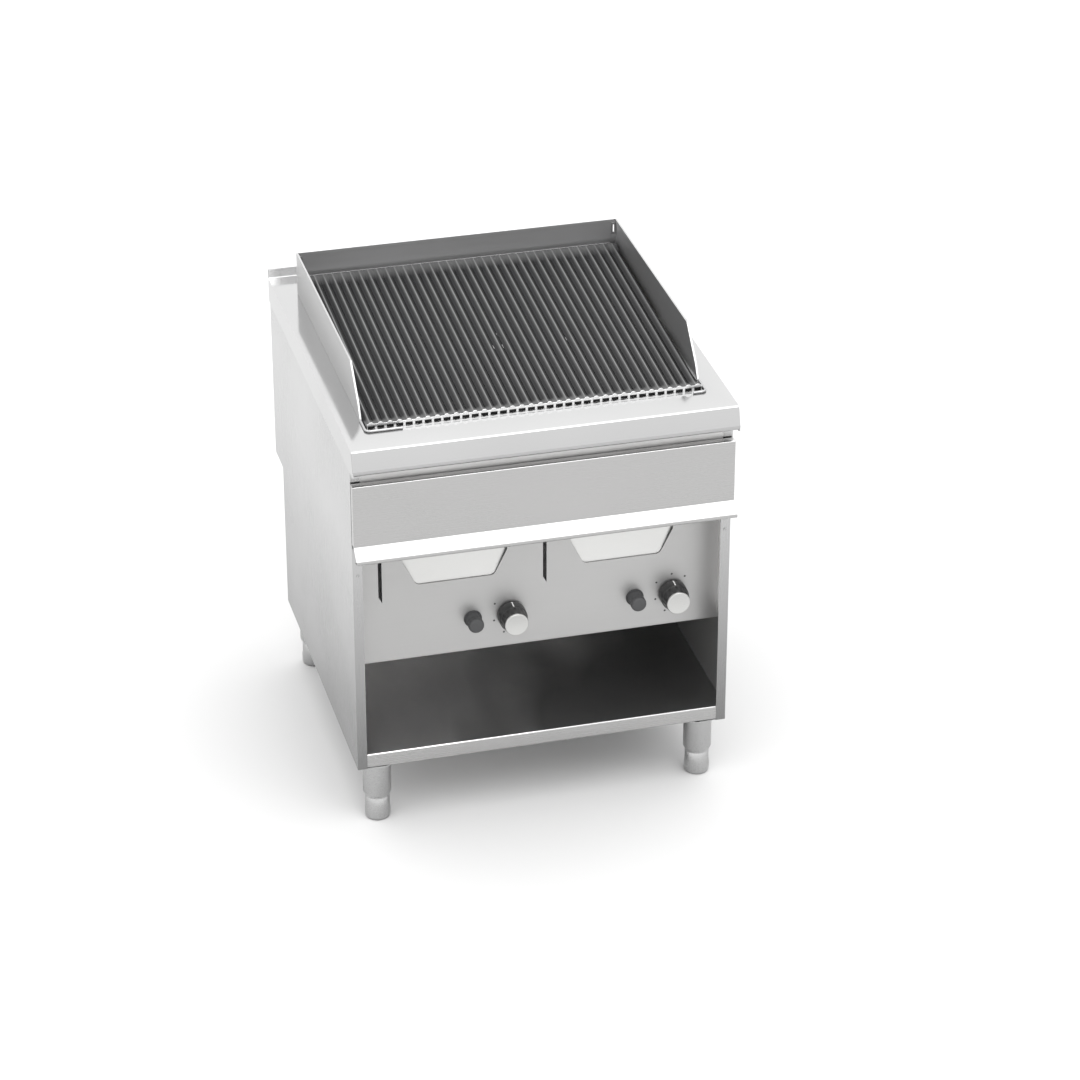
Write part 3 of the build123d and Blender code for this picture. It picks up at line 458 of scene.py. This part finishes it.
SINGLE_PIECES = {
    "drawer_front": STEEL_FRONT,
    "control_panel": STEEL_PANEL,
    "back_panel_lower": STEEL_INSIDE,
    "back_panel_upper": STEEL_DULL,
    "heat_shield": STEEL_DULL,
    "cross_rail_front": STEEL_RAIL,
    "firebox": STEEL_HEATED,
    "drawer_tray": STEEL_DULL,
    "grate_rest": STEEL_DULL,
    "sight_reflectors": STEEL_SIGHT,
    "burner_rail_front": STEEL_HEATED,
    "burner_rail_rear": STEEL_HEATED,
    "pilot_burners": STEEL_HEATED,
    "drain_comb": STEEL_COMB,
    "guard_hooks": STEEL_DULL,
    "gas_manifold": STEEL_TUBE,
    "gas_inlet_pipe": STEEL_TUBE,
    "leg_tubes": STEEL_TUBE,
    "leg_screws": STEEL_TUBE,
    "panel_screws": STEEL_TUBE,
    "injectors": BRASS,
    "spark_electrodes": CERAMIC,
    "flame_sensors": BRASS,
}

PAIRED_PIECES = {
    "burner": STEEL_HEATED,
    "flame_tamers": STEEL_HEATED,
    "gas_valve": ZINC,
    "feed_pipe": ALLOY,
    "plunger": BRASS,
    "spindle": ZINC,
    "igniter_body": RUBBER,
    "drawer_runner": STEEL_DULL,
}


def faces_inward(normal, centre):
    """Faces that look towards the middle of the unit, or to the rear."""
    return normal.x * centre.x < -0.0001 or normal.y > 0.5


def faces_front(normal, centre):
    return normal.y < -0.9


def is_upstand_front(normal, centre):
    return faces_front(normal, centre) and centre.y > UPSTAND_BEHIND


def is_shelf_top(normal, centre):
    return normal.z > 0.9 and centre.z < SHELF_BELOW


def make_spring(side):
    """The igniter's spring, on a mesh of its own; the real spring is squashed from the front as its button is
    pressed.
    """
    node = f"igniter_spring_{side}"
    spring = refine(node, STEEL_BRIGHT)
    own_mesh(spring)


for node, look in SINGLE_PIECES.items():
    refine(node, look)

for side in SIDES:
    for node, look in PAIRED_PIECES.items():
        refine(f"{node}_{side}", look)
    # Painted light and shade: the inward faces take the lighter liner steel, and both steels carry painted
    # shade towards the floor.
    refine(f"side_panel_{side}", STEEL_SIDE, STEEL_LINER, faces_inward)
    make_spring(side)
    # Painted light: the splash sides' inward faces take the lighter steel.
    refine(f"splash_side_{side}", STEEL_GUARD, STEEL_GUARD_IN, faces_inward)

# Painted light and shade: the splash back takes the lighter inner steel, and its shelf tops under the grates
# take the nearly black one.
refine("splash_back", STEEL_GUARD_IN, STEEL_SHELF, is_shelf_top)
# Painted light: the upstand's front faces take the lighter steel.
refine("worktop", STEEL_TOP, STEEL_UPSTAND, is_upstand_front)
# Painted light and reflections: the compartment floor takes the lighter patched steel, and its front faces
# take the outer front steel.
refine("cabinet_floor", STEEL_DECK, STEEL_FRONT, faces_front)


# ---------------------------------------------------------------- grate
BARS = 18
BAR_PITCH = 19.4 * MM
RIDGE_HALF = 1.5 * MM
BAR_HALF = 9.1 * MM
BAR_DEPTH = 9.0 * MM
FRONT_RAIL = 13.0 * MM
REAR_RAIL = 13.0 * MM
RUN_OUT = 18.0 * MM
REAR_RUN_OUT = 1.4 * RUN_OUT
VALLEY_TOP = 1.2 * MM
FOOT_SIDE = 1.6 * MM
FLANK_OUT = 0.36
FLANK_DOWN = 0.62
ROD_R = 3 * MM
FIRST_ROD = 60 * MM
LAST_ROD = 24 * MM
ROD_PAST_BAR = 4 * MM
ROD_DROP = 2 * MM
GRATE_FRONT = Vector((0.0, -0.3195, 0.90575))
GRATE_REAR = Vector((0.0, 0.321, 0.945))


def bar_section(open_part):
    """Outline of one bar as (x, z, wear): one with its neighbours at 0, standing free at 1."""
    half = BAR_PITCH / 2 + (BAR_HALF - BAR_PITCH / 2) * open_part
    foot = -VALLEY_TOP - (BAR_DEPTH - FOOT_SIDE - VALLEY_TOP) * open_part
    rubbed = 0.45 * (1.0 - open_part)
    right = [
        (RIDGE_HALF * 0.7, 0.0, 0.9),
        (RIDGE_HALF, -0.3 * MM, 0.55 - 0.1 * open_part),
        (RIDGE_HALF + (half - RIDGE_HALF) * FLANK_OUT, foot * FLANK_DOWN, rubbed),
        (half, foot, rubbed),
        (half, -BAR_DEPTH, 0.0),
    ]
    return [(-x, z, wear) for x, z, wear in reversed(right)] + right


def make_grate(side, sign):
    """Ridged bars that merge into a rail at each end, on three cross rods."""
    bm = bmesh.new()
    wear_layer = bm.verts.layers.float.new("wear")
    run = GRATE_REAR - GRATE_FRONT
    length = run.length
    tilt = Matrix.Translation(GRATE_FRONT) @ Matrix.Rotation(math.atan2(run.z, run.y), 4, "X")
    stations = [
        (0.0, 0.0),
        (FRONT_RAIL, 0.0),
        (FRONT_RAIL + RUN_OUT, 1.0),
        (length - REAR_RAIL - REAR_RUN_OUT, 1.0),
        (length - REAR_RAIL, 0.0),
        (length, 0.0),
    ]
    for index in range(BARS):
        bar_x = sign * (index + 0.5) * BAR_PITCH
        rings = []
        for along, open_part in stations:
            ring = []
            for x, z, wear in bar_section(open_part):
                vert = bm.verts.new(tilt @ Vector((bar_x + x, along, z)))
                vert[wear_layer] = wear
                ring.append(vert)
            rings.append(ring)
        skin(bm, rings)
        bm.faces.new(rings[0])
        bm.faces.new(rings[-1])
    rod_ends = (BAR_PITCH * 0.25, (BARS - 0.5) * BAR_PITCH + ROD_PAST_BAR)
    rod_z = -BAR_DEPTH - ROD_DROP
    for along in (FIRST_ROD, length / 2, length - LAST_ROD):
        start, end = (tilt @ Vector((sign * x, along, rod_z)) for x in rod_ends)
        rod = end - start
        lathe(bm, [(ROD_R, 0.0), (ROD_R, rod.length)], start, rod.normalized(), steps=20)
    node = f"grate_{side}"
    settle(f"grate_bars_{side}", bm, IRON, node, node, sharp=GRATE_SHARP)


for side, sign in SIDES.items():
    make_grate(side, sign)


# ---------------------------------------------------------------- knobs, igniters and dial marks
OUT = Vector((0, -1, 0))
KNOB_FLUTES = 12
FLUTE_DEPTH = 1.1 * MM
SKIRT = 22.0 * MM
SKIRT_TAPER = 0.8 * MM
GRIP_R = (28.5 * MM, 25.6 * MM)
BORE_R = 4.1 * MM
POINTER_HALF = 1.3 * MM
CENTRE_R = 0.3 * MM
MARK_R = 2.3 * MM
MARKS = ((141, 44.4 * MM), (198, 38.0 * MM), (250, 44.6 * MM), (92, 44.0 * MM), (52, 44.0 * MM))
MARK_COUNT = {"left": 3, "right": 5}


def rear_seat(node):
    """Where a fitting's axis meets its rear end; also its radius and its length."""
    low, high, centre = span(node)
    return Vector((centre.x, high.y, centre.z)), (high.x - low.x) / 2, high.y - low.y


def make_grip(side):
    """The knob's smooth skirt and its fluted grip."""
    node = f"knob_{side}"
    seat, radius, length = rear_seat(node)
    front = radius - SKIRT_TAPER
    profile = [
        (BORE_R, 0.0),
        (radius - 0.8 * MM, 0.0),
        (radius - 0.1 * MM, 0.7 * MM),
        (front, SKIRT - 1.4 * MM),
        (front - 0.5 * MM, SKIRT - 0.4 * MM),
        (front - 1.2 * MM, SKIRT),
        (GRIP_R[0], SKIRT + 0.2 * MM),
        (GRIP_R[0] - 0.2 * MM, SKIRT + 1.6 * MM),
        (GRIP_R[1] + 0.3 * MM, length - 2.4 * MM),
        (GRIP_R[1], length - 0.8 * MM),
        (GRIP_R[1] - 0.9 * MM, length),
        (BORE_R, length),
    ]

    def fluted(r, distance, angle):
        if SKIRT + 1 * MM < distance < length - 1.5 * MM:
            return r - FLUTE_DEPTH * max(0.0, math.cos(KNOB_FLUTES * angle)) ** 2
        return r

    bm = bmesh.new()
    lathe(bm, profile, seat, OUT, steps=144, radius_at=fluted)
    settle(f"knob_grip_{side}", bm, PLASTIC, node, node, sharp=ROUND_SHARP)


def make_pointer(side):
    """A painted line let into the top of the skirt."""
    node = f"knob_{side}"
    seat, radius, length = rear_seat(node)
    front = radius - SKIRT_TAPER
    bm = bmesh.new()
    rings = []
    for distance, height in ((2.0 * MM, radius - 0.45 * MM), (SKIRT - 2.0 * MM, front - 0.35 * MM)):
        bottom, top = height - 1 * MM, height + 0.5 * MM
        corners = [(-POINTER_HALF, bottom), (POINTER_HALF, bottom), (POINTER_HALF, top), (-POINTER_HALF, top)]
        rings.append([bm.verts.new(seat + Vector((x, -distance, z))) for x, z in corners])
    skin(bm, rings)
    for ring in rings:
        bm.faces.new(ring)
    settle(f"knob_pointer_{side}", bm, PAINT, node, None)


def make_knob_face(side):
    """The knob's light disc, with a raised rim."""
    node = f"knob_cap_{side}"
    seat, radius, depth = rear_seat(node)
    profile = [
        (CENTRE_R, 0.0),
        (radius, 0.0),
        (radius, depth - 1.4 * MM),
        (radius - 0.3 * MM, depth - 0.6 * MM),
        (radius - 1.1 * MM, depth - 0.1 * MM),
        (radius - 2.2 * MM, depth),
        (radius - 3.2 * MM, depth - 0.35 * MM),
        (CENTRE_R, depth - 0.5 * MM),
    ]
    bm = bmesh.new()
    lathe(bm, profile, seat, OUT, steps=96)
    settle(f"knob_face_{side}", bm, KNOB_FACE, f"knob_{side}", node, sharp=ROUND_SHARP)


def make_button(side):
    """Soft cap of the igniter: a fine groove round it, and a domed end."""
    node = f"igniter_button_{side}"
    seat, radius, length = rear_seat(node)
    profile = [
        (1 * MM, 0.0),
        (radius - 0.5 * MM, 0.0),
        (radius, 0.5 * MM),
        (radius, length - 14 * MM),
        (radius - 0.25 * MM, length - 13.6 * MM),
        (radius - 0.25 * MM, length - 13.2 * MM),
        (radius, length - 12.8 * MM),
        (radius, length - 5 * MM),
        (radius - 0.5 * MM, length - 2.6 * MM),
        (radius - 1.7 * MM, length - 0.9 * MM),
        (radius - 4 * MM, length - 0.2 * MM),
        (radius - 8 * MM, length),
        (1 * MM, length),
    ]
    bm = bmesh.new()
    lathe(bm, profile, seat, OUT, steps=72)
    settle(f"igniter_cap_{side}", bm, RUBBER, node, node, sharp=ROUND_SHARP)


def make_marks(side):
    """Plain printed dots on the panel, round the knob, each at its angle and its radius."""
    knob = span(f"knob_{side}")[2]
    panel_low = span("control_panel")[0]
    bm = bmesh.new()
    for degrees, radius in MARKS[:MARK_COUNT[side]]:
        angle = math.radians(degrees)
        x = knob.x + radius * math.cos(angle)
        z = knob.z + radius * math.sin(angle)
        lathe(bm, [(MARK_R, -0.2 * MM), (MARK_R, 0.05 * MM)], (x, panel_low.y, z), OUT, steps=20)
    settle(f"dial_marks_{side}", bm, PRINT, "cabinet", None)


for side in SIDES:
    make_grip(side)
    make_pointer(side)
    make_knob_face(side)
    make_button(side)
    make_marks(side)


# ---------------------------------------------------------------- feet
FOOT_TOP = 57 * MM
STEM_R = 11 * MM


def make_foot(end, side):
    """A turned foot, slimmer above and with a fine groove, and the stem that goes into the leg."""
    node = f"foot_{end}_{side}"
    low, high, centre = span(node)
    radius = (high.x - low.x) / 2
    profile = [
        (radius - 8 * MM, 0.0),
        (radius - 3 * MM, 0.6 * MM),
        (radius - 1 * MM, 2.4 * MM),
        (radius, 6 * MM),
        (radius, 22 * MM),
        (radius - 1.1 * MM, 27 * MM),
        (radius - 1.3 * MM, FOOT_TOP - 5 * MM),
        (radius - 1.8 * MM, FOOT_TOP - 4.4 * MM),
        (radius - 1.3 * MM, FOOT_TOP - 3.8 * MM),
        (radius - 1.3 * MM, FOOT_TOP - 1 * MM),
        (radius - 2.2 * MM, FOOT_TOP),
        (STEM_R, FOOT_TOP),
        (STEM_R, high.z - 1 * MM),
        (STEM_R - 1 * MM, high.z),
    ]
    bm = bmesh.new()
    lathe(bm, profile, (centre.x, centre.y, 0.0), (0, 0, 1), steps=72)
    settle(f"{node}_made", bm, STEEL_TUBE, node, node, sharp=ROUND_SHARP)


for side in SIDES:
    for end in ENDS:
        make_foot(end, side)
